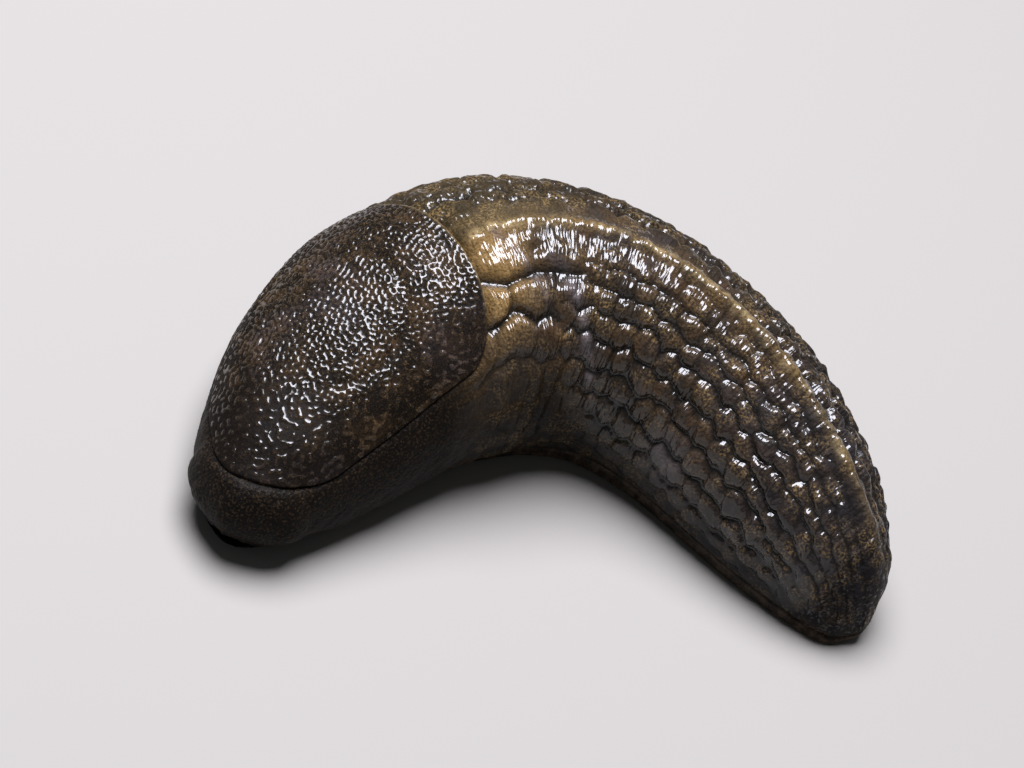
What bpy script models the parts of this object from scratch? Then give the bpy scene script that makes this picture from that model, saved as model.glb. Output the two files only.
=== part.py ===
"""A keeled slug at life size, drawn together into a C and resting on its sole.

The body follows a curved line on the floor from head to tail. Its cross-section is given by
half widths and heights at stations along that line, and every part is a length or a layer of
that one body: neck, mantle, trunk, tail and foot, with the head tucked under the neck.

The frame is in metres, +Z up, floor at z = 0, origin under the middle of the body's box.
The head is towards -X, the tail towards +X, and the slug's right side is the outside of the
bend, towards +Y. "u" runs from 0 at the front to 1 at the tail tip. "q" runs down each side,
from 0 on the crest to 1 at the widest level and 2 at the floor. "side" is 1 on the right
and -1 on the left.
"""
import math
import random

import bmesh
import bpy
from mathutils import Matrix, Vector

MM = 0.001

# Body line: length, direction at the front, and the turn that bends it into a C
BODY_LENGTH = 32 * MM
FRONT_HEADING = 60
BODY_TURN = 107
TURN_FROM, TURN_TO = 0.12, 0.82
LINE_START_X, LINE_START_Y = -11.51 * MM, -7.28 * MM

# Cross-section at stations along the body
STATION = (0, 0.02, 0.06, 0.12, 0.20, 0.30, 0.40, 0.50, 0.60, 0.70, 0.80, 0.88, 0.94, 0.98, 1)
HALF_WIDTH_MM = (0, 1.45, 2.4, 3.25, 4.15, 4.65, 4.8, 4.35, 3.7, 3.45, 3.15, 2.65, 2.0, 1.25, 0)
HEIGHT_MM = (2.6, 3.3, 4.1, 5.0, 6.3, 7.8, 8.9, 9.0, 8.7, 7.9, 6.9, 5.8, 4.5, 3.0, 1.6)
LEAN_STATION = (0, 0.20, 0.60, 0.80, 1)
LEAN_DEGREES = (0, -1, 0, 4, 5)
WIDEST_LEVEL = 0.4
FOOT_SHARE = 0.74
BACK_SQUARE_OUT, BACK_SQUARE_UP = 0.92, 0.95
FLANK_CURVE = 2.2

# Cuts between the nodes
GAP = 0.3 * MM
NECK_TIP, NECK_END = 0.006, 0.16
FRONT_END = 0.36
CELL_LENGTH = 1.9 * MM
CELL_STEP = CELL_LENGTH / 2 / BODY_LENGTH
CELLS_PER_LENGTH = 4
TAIL_STEPS = 5
FOOT_CUTS = (0.165, 0.45, 0.72, 0.985)
BODY_TIP = 0.997

# Tubercles in rows along the back and flanks
ROW_WIDTH = 1.25 * MM
ROW_WIDTH_TAIL = 0.85 * MM
ROWS = 9
ROW_DRIFT = 1.5
CELL_ZIGZAG = 0.14
CELL_JITTER = 0.06
GROOVE_DEPTH = 0.16 * MM
TUBERCLE_RISE = 0.22 * MM
TUBERCLE_CROWN = 0.07 * MM
TUBERCLE_SLOPE = 0.17
KEEL_HALF_WIDTH = 0.5 * MM
KEEL_RISE = 0.4 * MM
KEEL_END, KEEL_FADE = 1.02, 0.08
TUBERCLES_END = 0.97
ROWS_CONVERGE = 0.90
ROW_CUT_OFF = 0.3

# Mantle: a free-edged shield over the front third, drawn over to the outside of the bend
MANTLE_FRONT, MANTLE_SHOULDER = 0.03, 0.10
MANTLE_HIP, MANTLE_REAR = 0.275, 0.345
MANTLE_SWEEP_FRONT, MANTLE_SWEEP_REAR = 0.04, 0.012
MANTLE_LEFT_Q, MANTLE_RIGHT_Q = -0.54, 0.86
MANTLE_MIDDLE_Q = (MANTLE_RIGHT_Q + MANTLE_LEFT_Q) / 2
MANTLE_REACH = (MANTLE_RIGHT_Q - MANTLE_LEFT_Q) / 2
MANTLE_RISE = 0.22 * MM
MANTLE_EDGE_ROUND = 0.9 * MM
MANTLE_THICK = 1.0 * MM
MANTLE_EDGE_THICK = 0.5 * MM
MANTLE_FEATHER = 2 * MM
SEAT_OPEN, SEAT_CLEAR = 1.2 * MM, 0.36 * MM
PNEUMOSTOME_U, PNEUMOSTOME_Q = 0.225, 0.70
PNEUMOSTOME_WIDTH, PNEUMOSTOME_LENGTH = 0.5 * MM, 0.9 * MM

# Foot: a thin sole with a fringe and two long grooves
FOOT_BASE_HEIGHT = 0.35 * MM
FOOT_HEIGHT_SHARE = 0.085
FRINGE_OUT = 0.22 * MM
SOLE_GROOVE_PLACE = 0.36
SOLE_GROOVE_WIDTH = 0.30 * MM
SOLE_GROOVE_DEPTH = 0.22 * MM

# Head, drawn back under the front of the neck, with its four feelers shortened to knobs
HEAD_FRONT, HEAD_BACK = 2.3 * MM, 4.77 * MM
HEAD_HALF_WIDTH = 1.2 * MM
HEAD_BOTTOM, HEAD_TOP = 0.25 * MM, 1.6 * MM
HEAD_ROUND, HEAD_TAPER = 0.28, 0.25
POCKET_HALF_WIDTH, POCKET_HEIGHT = 1.8 * MM, 1.95 * MM
POCKET_OUTSIDE, POCKET_FRONT, POCKET_BACK = -1 * MM, 1.5 * MM, 6 * MM
ARCH_BACK = 0.95 * MM
POCKET_SQUARE = 0.7
TUCK, TUCK_END, BROW_LEVEL = 0.95 * MM, 0.06, 1.9 * MM
NOSE_CROWDING = 1.4
ARCH_HALF_WIDTH, ARCH_HEIGHT = 0.95 * MM, 1.3 * MM
MOUTH_LEVEL = 0.75 * MM
MOUTH_WIDTH, MOUTH_HEIGHT, MOUTH_DEPTH = 0.9 * MM, 0.22 * MM, 0.35 * MM
EYESTALK_RADIUS, EYESTALK_LENGTH = 0.28 * MM, 0.6 * MM
EYESTALK_ALONG, EYESTALK_OUT, EYESTALK_LEVEL = 1.68 * MM, 0.6 * MM, 1.1 * MM
FEELER_RADIUS, FEELER_LENGTH = 0.25 * MM, 0.5 * MM
FEELER_ALONG, FEELER_OUT, FEELER_LEVEL = 1.73 * MM, 0.35 * MM, 0.3 * MM

# Scene and helpers

for leftover in list(bpy.data.objects):
    bpy.data.objects.remove(leftover)

parts = bpy.data.collections.new("keeled_slug")
cutters = bpy.data.collections.new("cutters")
bpy.context.scene.collection.children.link(parts)
bpy.context.scene.collection.children.link(cutters)


def skin_material(name, colour, roughness):
    material = bpy.data.materials.new(name)
    material.use_nodes = True
    shader = material.node_tree.nodes["Principled BSDF"]
    shader.inputs["Base Color"].default_value = (*colour, 1)
    shader.inputs["Roughness"].default_value = roughness
    shader.inputs["Metallic"].default_value = 0
    return material


MANTLE_SKIN = skin_material("mantle_skin", (0.050, 0.038, 0.022), 0.35)
BACK_SKIN = skin_material("back_skin", (0.070, 0.052, 0.026), 0.35)
NECK_SKIN = skin_material("neck_skin", (0.042, 0.034, 0.026), 0.45)
SOLE_SKIN = skin_material("sole_skin", (0.16, 0.13, 0.10), 0.4)
FEELER_SKIN = skin_material("feeler_skin", (0.022, 0.020, 0.020), 0.3)


def node_object(name, bm, material, collection=parts):
    """Turn a finished bmesh into a named object, with its faces pointing out."""
    bmesh.ops.recalc_face_normals(bm, faces=bm.faces)
    if bm.calc_volume(signed=True) < 0:
        bmesh.ops.reverse_faces(bm, faces=bm.faces)
    mesh = bpy.data.meshes.new(name)
    bm.to_mesh(mesh)
    bm.free()
    mesh.materials.append(material)
    obj = bpy.data.objects.new(name, mesh)
    collection.objects.link(obj)
    return obj


def cut_away(target, cutter):
    """Take a cutter out of a node with a Boolean that stays on the node."""
    cutter.hide_render = True
    cutter.display_type = "WIRE"
    cut = target.modifiers.new("cut", "BOOLEAN")
    cut.operation = "DIFFERENCE"
    cut.object = cutter


def ease(x):
    x = min(max(x, 0), 1)
    return x * x * (3 - 2 * x)


def through(x, stations, values):
    """A smooth curve through the stations that never overshoots between them."""
    count = len(stations)
    steps = [stations[i + 1] - stations[i] for i in range(count - 1)]
    slopes = [(values[i + 1] - values[i]) / steps[i] for i in range(count - 1)]
    tangents = [slopes[0]] + [0] * (count - 2) + [slopes[-1]]
    for i in range(1, count - 1):
        if slopes[i - 1] * slopes[i] > 0:
            before = 2 * steps[i] + steps[i - 1]
            after = steps[i] + 2 * steps[i - 1]
            tangents[i] = (before + after) / (before / slopes[i - 1] + after / slopes[i])
    x = min(max(x, stations[0]), stations[-1])
    i = max(k for k in range(count - 1) if x >= stations[k])
    t = (x - stations[i]) / steps[i]
    ends = (1 + 2 * t) * (1 - t) ** 2 * values[i] + t * t * (3 - 2 * t) * values[i + 1]
    bends = t * (1 - t) ** 2 * tangents[i] + t * t * (t - 1) * tangents[i + 1]
    return ends + bends * steps[i]


# The body line and its cross-section

def heading(u):
    turned = BODY_TURN * ease((u - TURN_FROM) / (TURN_TO - TURN_FROM))
    return math.radians(FRONT_HEADING - turned)


def walk_body_line(steps=800):
    """Follow the heading from head to tail, from a start that centres the body over the origin."""
    line = [Vector((LINE_START_X, LINE_START_Y))]
    for i in range(steps):
        angle = heading((i + 0.5) / steps)
        line.append(line[-1] + Vector((math.cos(angle), math.sin(angle))) * BODY_LENGTH / steps)
    return line


BODY_LINE = walk_body_line()


def line_point(u):
    place = min(max(u, 0), 1) * (len(BODY_LINE) - 1)
    i = min(int(place), len(BODY_LINE) - 2)
    return BODY_LINE[i].lerp(BODY_LINE[i + 1], place - i)


def half_width(u):
    return through(u, STATION, HALF_WIDTH_MM) * MM


def height(u):
    return through(u, STATION, HEIGHT_MM) * MM


def profile(u, q):
    """How far out and how high the plain body surface is, q of the way down one side."""
    wide = half_width(u)
    top = height(u)
    level = WIDEST_LEVEL * top
    if q <= 1:
        angle = math.radians(90 * (1 - max(q, 0)))
        out = wide * math.cos(angle) ** BACK_SQUARE_OUT
        return out, level + (top - level) * math.sin(angle) ** BACK_SQUARE_UP
    down = min(q - 1, 1)
    return wide * (1 - (1 - FOOT_SHARE) * down ** FLANK_CURVE), level * (1 - down)


def place(u, out, up, side):
    """A point given across and above the body line, with the body's lean."""
    lean = math.tan(math.radians(through(u, LEAN_STATION, LEAN_DEGREES)))
    across = side * out + lean * up
    angle = heading(u)
    base = line_point(u)
    return Vector((base.x - math.sin(angle) * across, base.y + math.cos(angle) * across, up))


def surface(u, q, side, lift=0.0):
    """A point on the body, lifted off it along the section's own normal."""
    step = 0.02
    before = profile(u, max(q - step, 0))
    after = profile(u, q + step)
    along = Vector((after[0] - before[0], after[1] - before[1]))
    if q < step:
        along = Vector((1, 0))
    along.normalize()
    out, up = profile(u, q)
    return place(u, max(out - along.y * lift, 0.3 * out), up + along.x * lift, side)


def off_cut(u, way):
    """Half a gap along the body, so that the two faces of a cut lie parallel round the bend."""
    angle = heading(u)
    return Vector((math.cos(angle), math.sin(angle), 0)) * (way * GAP / 2)


def q_at_level(u, level):
    widest = WIDEST_LEVEL * height(u)
    return 1 + max(widest - level, 0) / widest


def side_arc(u, q_end, count=48):
    """Distance down one side from the crest, as pairs of distance and q."""
    pairs = [(0.0, 0.0)]
    last = profile(u, 0)
    for i in range(1, count + 1):
        q = q_end * i / count
        point = profile(u, q)
        pairs.append((pairs[-1][0] + math.dist(last, point), q))
        last = point
    return pairs


def q_at_distance(pairs, distance):
    for (near, q_near), (far, q_far) in zip(pairs, pairs[1:]):
        if distance <= far:
            return q_near + (q_far - q_near) * (distance - near) / max(far - near, 1e-9)
    return pairs[-1][1]


# The mantle's outline, in u along the body and v across it, from -1 at its left edge to 1 at
# its right edge

def mantle_front(v):
    swept = MANTLE_SHOULDER + MANTLE_SWEEP_FRONT * max(v, 0) ** 2
    return swept - (MANTLE_SHOULDER - MANTLE_FRONT) * math.sqrt(max(1 - v * v, 0))


def mantle_rear(v):
    swept = MANTLE_HIP - MANTLE_SWEEP_REAR * v
    return swept + (MANTLE_REAR - MANTLE_HIP) * math.sqrt(max(1 - abs(v) ** 2.5, 0))


def mantle_place(v, beyond=0):
    """The q and side of a line across the mantle, with q drawn out past its edges by a share."""
    q = MANTLE_MIDDLE_Q + v * (MANTLE_REACH + beyond)
    return abs(q), 1 if q > 0 else -1


def mantle_outline(steps=40):
    """The mantle's edge as a closed run of (u, v)."""
    across = [math.sin(math.pi * (i / steps - 0.5)) for i in range(steps + 1)]
    rear = [(mantle_rear(v), v) for v in across]
    front = [(mantle_front(v), v) for v in reversed(across)]
    return rear + front + rear[:1]


MANTLE_OUTLINE = mantle_outline()


def inside_mantle(u, v):
    """Distance in from the mantle's edge, measured on the skin; negative outside it."""
    round_the_body = MANTLE_REACH * math.pi / 2 * 0.5 * (half_width(u) + 0.6 * height(u))
    here = Vector((0, 0))
    nearest = 1.0
    for (u_a, v_a), (u_b, v_b) in zip(MANTLE_OUTLINE, MANTLE_OUTLINE[1:]):
        a = Vector(((u_a - u) * BODY_LENGTH, (v_a - v) * round_the_body))
        b = Vector(((u_b - u) * BODY_LENGTH, (v_b - v) * round_the_body))
        run = b - a
        t = min(max(-a.dot(run) / max(run.length_squared, 1e-12), 0), 1)
        nearest = min(nearest, (a + run * t - here).length)
    within = abs(v) < 1 and mantle_front(v) < u < mantle_rear(v)
    return nearest if within else -nearest


def mantle_lift(inward):
    """Outer face of the mantle, rounded down at its edge."""
    t = min(max(inward / MANTLE_EDGE_ROUND, 0), 1)
    return MANTLE_RISE * math.sqrt(1 - (1 - t) ** 2)


def mantle_under(inward):
    """Inner face of the mantle, thinner towards its edge."""
    t = ease(inward / MANTLE_FEATHER)
    return MANTLE_EDGE_THICK + (MANTLE_THICK - MANTLE_EDGE_THICK) * t


def seam_level(u):
    """Top of the foot, where the flank begins."""
    return FOOT_BASE_HEIGHT + FOOT_HEIGHT_SHARE * height(u)


def add_strip(bm, first, second):
    """Faces between two runs of points of the same length."""
    for a, b, c, d in zip(first, first[1:], second[1:], second):
        corners = []
        for vert in (a, b, c, d):
            if vert not in corners:
                corners.append(vert)
        if len(corners) > 2:
            bm.faces.new(corners)


def bridge_shells(bm, outer, inner):
    """Faces over two grids of points of the same size and round their edges."""
    for shell in (outer, inner):
        for first, second in zip(shell, shell[1:]):
            add_strip(bm, first, second)
    for end in (0, -1):
        add_strip(bm, outer[end], inner[end])
        add_strip(bm, [run[end] for run in outer], [run[end] for run in inner])


def close_ends(bm):
    """Merge points that fell together and cap what is still open."""
    bmesh.ops.remove_doubles(bm, verts=bm.verts, dist=0.01 * MM)
    bmesh.ops.dissolve_degenerate(bm, dist=0.005 * MM, edges=bm.edges)
    open_edges = [edge for edge in bm.edges if edge.is_boundary]
    bmesh.ops.holes_fill(bm, edges=open_edges, sides=0)


# Neck and the front of the trunk: smooth lengths with a sunken seat for the mantle cut in them

def tuck_under(u, point):
    """Draw the foot of the nose back under its brow."""
    angle = heading(0)
    back = TUCK * (1 - ease(point.z / BROW_LEVEL)) * (1 - ease(u / TUCK_END))
    return point + Vector((math.cos(angle), math.sin(angle), 0)) * back


def smooth_length(name, u_start, u_end, is_nose, rings=14, columns=16):
    bm = bmesh.new()
    runs = []
    for i in range(rings + 1):
        u = u_start + (u_end - u_start) * (i / rings) ** (NOSE_CROWDING if is_nose else 1)
        back_off = off_cut(u, (i == 0 and not is_nose) - (i == rings))
        arc = side_arc(u, 2 if is_nose else q_at_level(u, seam_level(u) + GAP))
        run = []
        for k in range(-columns, columns + 1):
            q = q_at_distance(arc, arc[-1][0] * abs(k) / columns)
            run.append(bm.verts.new(tuck_under(u, surface(u, q, 1 if k >= 0 else -1)) + back_off))
        runs.append(run + run[:1])
    for first, second in zip(runs, runs[1:]):
        add_strip(bm, first, second)
    close_ends(bm)
    bmesh.ops.triangulate(bm, faces=bm.faces, quad_method="SHORT_EDGE")
    return node_object(name, bm, NECK_SKIN)


def seat_cutter(steps_along=16, steps_across=22):
    """What the mantle needs out of the body: its own room with the gap all round."""
    bm = bmesh.new()
    shells = ([], [])
    for k in range(steps_across + 1):
        v = math.sin(math.pi * (k / steps_across - 0.5))
        front, rear = mantle_front(v) - GAP / BODY_LENGTH, mantle_rear(v) + SEAT_CLEAR / BODY_LENGTH
        runs = ([], [])
        for i in range(steps_along + 1):
            u = front + (rear - front) * i / steps_along
            beyond = SEAT_CLEAR / side_arc(u, 1)[-1][0]
            q, side = mantle_place(v, beyond)
            under = mantle_under(max(inside_mantle(u, v * (1 + beyond / MANTLE_REACH)), 0)) + GAP
            runs[0].append(bm.verts.new(surface(u, q, side, SEAT_OPEN)))
            runs[1].append(bm.verts.new(surface(u, q, side, -under)))
        for shell, run in zip(shells, runs):
            shell.append(run)
    bridge_shells(bm, *shells)
    return node_object("seat_cutter", bm, NECK_SKIN, cutters)


def in_head_frame(along, sideways, up):
    """A point given from the front of the body, along its straight first stretch."""
    angle = heading(0)
    forward = Vector((math.cos(angle), math.sin(angle), 0))
    right = Vector((-math.sin(angle), math.cos(angle), 0))
    return place(0, 0, 0, 1) + forward * along + right * sideways + Vector((0, 0, up))


def pocket_cutter():
    """The hollow under the neck that the head draws back into, open at the front."""
    rings = (
        (POCKET_OUTSIDE, ARCH_HALF_WIDTH, ARCH_HEIGHT),
        (ARCH_BACK, ARCH_HALF_WIDTH, ARCH_HEIGHT),
        (POCKET_FRONT, POCKET_HALF_WIDTH, POCKET_HEIGHT),
        (POCKET_BACK, POCKET_HALF_WIDTH, POCKET_HEIGHT),
    )
    bm = bmesh.new()
    runs = []
    for along, wide, high in rings:
        run = [bm.verts.new(in_head_frame(along, wide, -MM))]
        for k in range(9):
            turn = math.pi * k / 8
            up = high * math.sin(turn) ** POCKET_SQUARE
            run.append(bm.verts.new(in_head_frame(along, wide * math.cos(turn), up)))
        run.append(bm.verts.new(in_head_frame(along, -wide, -MM)))
        runs.append(run + run[:1])
    for first, second in zip(runs, runs[1:]):
        add_strip(bm, first, second)
    close_ends(bm)
    return node_object("neck_pocket_cutter", bm, NECK_SKIN, cutters)


seat = seat_cutter()
neck = smooth_length("neck", NECK_TIP, NECK_END, True)
cut_away(neck, seat)
cut_away(neck, pocket_cutter())
cut_away(smooth_length("trunk_front", NECK_END, FRONT_END, False), seat)


# Trunk and tail: lengths with the keel along the crest and rows of tubercles down each side

def row_width(u):
    return ROW_WIDTH + (ROW_WIDTH_TAIL - ROW_WIDTH) * ease((u - FRONT_END) / (1 - FRONT_END))


def row_line(j, u):
    """Distance down the side from the crest to the groove above row j."""
    drift = ROW_DRIFT * (j / ROWS) ** 2 * max(u - FRONT_END, 0)
    return KEEL_HALF_WIDTH + row_width(u) * (j + drift)


def lattice_run(bm, u, side, i, back_off, dice):
    """The points of one ring on one side, from the keel down; those past the flank share its foot."""
    arc = side_arc(u, q_at_level(u, seam_level(u) + GAP))
    foot = bm.verts.new(surface(u, arc[-1][1], side) + back_off)
    full = side_arc(ROWS_CONVERGE, q_at_level(ROWS_CONVERGE, seam_level(ROWS_CONVERGE) + GAP))
    converge = min(1, arc[-1][0] / full[-1][0]) if u > ROWS_CONVERGE else 1
    run = []
    for j in range(ROWS + 1):
        distance = row_line(j, min(u, ROWS_CONVERGE)) * converge
        forward = 0
        if j > 0:
            zigzag = CELL_ZIGZAG if (i - j) % 2 == 0 else -CELL_ZIGZAG
            distance += row_width(u) * converge * (zigzag + dice.uniform(-CELL_JITTER, CELL_JITTER))
            forward = CELL_STEP * dice.uniform(-CELL_JITTER, CELL_JITTER) * 2
            if back_off.length > 0:
                forward = 0
        if j == ROWS or distance > arc[-1][0] - ROW_CUT_OFF * row_width(u) * converge:
            run.append(foot)
            continue
        q = q_at_distance(arc, distance)
        run.append(bm.verts.new(surface(u + forward, q, side, -GROOVE_DEPTH) + back_off))
    return run


def add_face(bm, corners):
    """A face on these corners, without repeats, or none if fewer than three are left."""
    kept = []
    for vert in corners:
        if vert not in kept:
            kept.append(vert)
    return bm.faces.new(kept) if len(kept) > 2 else None


def raise_tubercle(bm, cell, width):
    """Slope the sides of a cell up from its grooves and crown its top."""
    bmesh.ops.inset_individual(
        bm, faces=[cell], thickness=TUBERCLE_SLOPE * width, depth=TUBERCLE_RISE, use_even_offset=True
    )
    bmesh.ops.poke(bm, faces=[cell], offset=TUBERCLE_CROWN, center_mode="MEAN_WEIGHTED")


def tubercled_length(name, u_start, steps, tip=None):
    stations = [u_start + CELL_STEP * i for i in range(steps + 1)]
    if tip is not None:
        stations.append(tip)
    last = len(stations) - 1
    ways = [1] + [0] * (last - 1) + [-1 if tip is None else 0]
    dice = random.Random(name)
    bm = bmesh.new()
    crest = []
    sides = {1: [], -1: []}
    for i, u in enumerate(stations):
        keel = KEEL_RISE * min(1, (KEEL_END - u) / KEEL_FADE)
        back_off = off_cut(u, ways[i])
        crest.append(bm.verts.new(surface(u, 0, 1, keel) + back_off))
        for side in (1, -1):
            sides[side].append(lattice_run(bm, u, side, i, back_off, dice))
    whole_cells = []
    for side in (1, -1):
        run = sides[side]
        for i in range(last):
            add_face(bm, (crest[i], crest[i + 1], run[i + 1][0], run[i][0]))
        for j in range(ROWS):
            for first in range(-(j % 2), last, 2):
                span = range(max(first, 0), min(first + 2, last) + 1)
                upper = [run[i][j] for i in span]
                lower = [run[i][j + 1] for i in reversed(span)]
                if all(vert is run[i][ROWS] for vert, i in zip(upper, span)):
                    continue
                cell = add_face(bm, upper + lower)
                if cell and len(cell.verts) >= 2 * len(span) - 1 and stations[span[-1]] < TUBERCLES_END:
                    whole_cells.append((cell, row_width(stations[span[0]])))
    for i in range(last):
        add_face(bm, (sides[1][i][-1], sides[1][i + 1][-1], sides[-1][i + 1][-1], sides[-1][i][-1]))
    bmesh.ops.recalc_face_normals(bm, faces=bm.faces)
    for cell, width in whole_cells:
        raise_tubercle(bm, cell, width)
    close_ends(bm)
    return node_object(name, bm, BACK_SKIN)


length_u = CELLS_PER_LENGTH * 2 * CELL_STEP
tubercled_length("trunk_middle", FRONT_END, CELLS_PER_LENGTH * 2)
tubercled_length("trunk_rear", FRONT_END + length_u, CELLS_PER_LENGTH * 2)
tubercled_length("tail", FRONT_END + 2 * length_u, TAIL_STEPS, BODY_TIP)


# Mantle: a shell over the neck and the front of the trunk, with the breathing hole on its right

def mantle_shell(steps_along=20, steps_across=26):
    bm = bmesh.new()
    outer = []
    inner = []
    for k in range(steps_across + 1):
        t = 2 * k / steps_across - 1
        v = t * (1.3 - 0.3 * t * t)
        front, rear = mantle_front(v), mantle_rear(v)
        q, side = mantle_place(v)
        outer_run = []
        inner_run = []
        for i in range(steps_along + 1):
            t = 2 * i / steps_along - 1
            share = 0.5 + 0.5 * t * (1.2 - 0.2 * t * t)
            u = front + (rear - front) * share
            inward = inside_mantle(u, v)
            outer_run.append(bm.verts.new(surface(u, q, side, mantle_lift(inward))))
            inner_run.append(bm.verts.new(surface(u, q, side, -mantle_under(inward))))
        outer.append(outer_run)
        inner.append(inner_run)
    bridge_shells(bm, outer, inner)
    return node_object("mantle", bm, MANTLE_SKIN)


def pneumostome_cutter():
    """An oval plug through the mantle on the right side."""
    bm = bmesh.new()
    bmesh.ops.create_cone(
        bm, segments=14, radius1=0.5, radius2=0.5, depth=1, cap_ends=True
    )
    for vert in bm.verts:
        vert.co.x *= PNEUMOSTOME_LENGTH
        vert.co.y *= PNEUMOSTOME_WIDTH
        vert.co.z *= 4 * MANTLE_THICK
    cutter = node_object("pneumostome_cutter", bm, MANTLE_SKIN, cutters)
    here = surface(PNEUMOSTOME_U, PNEUMOSTOME_Q, 1)
    outward = (surface(PNEUMOSTOME_U, PNEUMOSTOME_Q, 1, MM) - here).normalized()
    ahead = surface(PNEUMOSTOME_U + 0.01, PNEUMOSTOME_Q, 1) - here
    across = outward.cross(ahead).normalized()
    ahead = across.cross(outward)
    cutter.matrix_world = Matrix((ahead, across, outward)).transposed().to_4x4()
    cutter.matrix_world.translation = here
    return cutter


mantle = mantle_shell()
cut_away(mantle, pneumostome_cutter())


# Foot: three lengths of sole, flat on the floor, with a fringe and two long grooves

def foot_half_ring(u):
    """The foot's right half from the middle of the sole round to the middle of its top."""
    base = profile(u, 2)[0]
    top = seam_level(u)
    groove = SOLE_GROOVE_PLACE * base
    half_groove = min(SOLE_GROOVE_WIDTH / 2, 0.2 * base)
    fringe = base + min(FRINGE_OUT, 0.3 * base)
    return (
        (groove - half_groove, 0),
        (groove, SOLE_GROOVE_DEPTH),
        (groove + half_groove, 0),
        (base, 0),
        (fringe, 0.35 * top),
        (fringe, 0.75 * top),
        (base + 0.3 * (fringe - base), top),
    )


def foot_length(name, u_start, u_end, rings=8):
    bm = bmesh.new()
    runs = []
    for i in range(rings + 1):
        u = u_start + (u_end - u_start) * i / rings
        half = foot_half_ring(u)
        back_off = off_cut(u, (i == 0) - (i == rings))
        run = [bm.verts.new(place(u, out, up, 1) + back_off) for out, up in half]
        run += [bm.verts.new(place(u, out, up, -1) + back_off) for out, up in reversed(half)]
        runs.append(run + run[:1])
    for first, second in zip(runs, runs[1:]):
        add_strip(bm, first, second)
    close_ends(bm)
    return node_object(name, bm, SOLE_SKIN)


for name, u_start, u_end in zip(("foot_front", "foot_middle", "foot_rear"), FOOT_CUTS, FOOT_CUTS[1:]):
    foot_length(name, u_start, u_end)


# Head: a rounded block with mouth and lips, drawn back under the neck, and its four knobs

def rounded_knob(name, centre, radius, length, material, collection=parts):
    """A short round-ended form lying along the body."""
    bm = bmesh.new()
    bmesh.ops.create_uvsphere(bm, u_segments=12, v_segments=8, radius=1)
    for vert in bm.verts:
        along, sideways, up = vert.co.z, vert.co.x, vert.co.y
        vert.co = in_head_frame(
            centre[0] + along * length / 2, centre[1] + sideways * radius[0], centre[2] + up * radius[1]
        )
    return node_object(name, bm, material, collection)


def head_block():
    bm = bmesh.new()
    bmesh.ops.create_cube(bm, size=1)
    front_edges = [edge for edge in bm.edges if min(vert.co.x for vert in edge.verts) < 0]
    bmesh.ops.bevel(
        bm, geom=front_edges, offset=HEAD_ROUND, segments=3, profile=0.5, affect="EDGES"
    )
    for vert in bm.verts:
        narrow = 1 - HEAD_TAPER * (0.5 - vert.co.x)
        along = HEAD_FRONT + (HEAD_BACK - HEAD_FRONT) * (vert.co.x + 0.5)
        up = HEAD_BOTTOM + (HEAD_TOP - HEAD_BOTTOM) * (vert.co.z + 0.5)
        vert.co = in_head_frame(along, vert.co.y * 2 * HEAD_HALF_WIDTH * narrow, up)
    return node_object("head", bm, NECK_SKIN)


head = head_block()
mouth = rounded_knob(
    "mouth_cutter",
    (HEAD_FRONT, 0, MOUTH_LEVEL),
    (MOUTH_WIDTH / 2, MOUTH_HEIGHT / 2),
    2 * MOUTH_DEPTH,
    NECK_SKIN,
    cutters,
)
cut_away(head, mouth)
for word, side in (("right", 1), ("left", -1)):
    rounded_knob(
        f"eyestalk_{word}",
        (EYESTALK_ALONG, side * EYESTALK_OUT, EYESTALK_LEVEL),
        (EYESTALK_RADIUS, EYESTALK_RADIUS),
        EYESTALK_LENGTH,
        FEELER_SKIN,
    )
    rounded_knob(
        f"feeler_{word}",
        (FEELER_ALONG, side * FEELER_OUT, FEELER_LEVEL),
        (FEELER_RADIUS, FEELER_RADIUS),
        FEELER_LENGTH,
        FEELER_SKIN,
    )
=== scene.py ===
"""A keeled slug drawn together into a C, as a still model at life size.

The pieces are its skin, its mantle and its two eyes. The body's sizes are in millimetres and
turn to metres where a mesh is filled. "u" runs from 0 at the front to 1 at the tail tip, "q"
from 0 on the crest over 1 at the widest level to 2 at the floor, and "side" is 1 on the
slug's right and -1 on its left. "far" is the distance down the side from the crest.
"""
import math

import bpy
import numpy as np
from mathutils import Matrix, Vector


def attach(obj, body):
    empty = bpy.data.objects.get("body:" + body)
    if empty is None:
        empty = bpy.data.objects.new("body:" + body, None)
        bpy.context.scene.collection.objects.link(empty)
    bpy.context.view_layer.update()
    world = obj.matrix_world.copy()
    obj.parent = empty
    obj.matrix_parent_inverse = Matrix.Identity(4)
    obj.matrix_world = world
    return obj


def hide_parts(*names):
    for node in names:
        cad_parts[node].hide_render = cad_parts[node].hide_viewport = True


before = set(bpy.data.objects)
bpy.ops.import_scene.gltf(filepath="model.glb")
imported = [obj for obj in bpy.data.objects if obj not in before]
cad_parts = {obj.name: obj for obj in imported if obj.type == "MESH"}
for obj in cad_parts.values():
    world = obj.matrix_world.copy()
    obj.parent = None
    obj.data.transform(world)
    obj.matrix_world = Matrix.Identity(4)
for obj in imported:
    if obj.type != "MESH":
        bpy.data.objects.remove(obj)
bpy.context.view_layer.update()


# Skin: the slug's head, neck, back, tail and foot are one soft wall of muscle and skin with no
# seam. The back carries a keel and rows of long tubercles with dark grooves between them, and
# the foot ends in a thin fringe on each side. The head is drawn in under the front of the neck.

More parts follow.
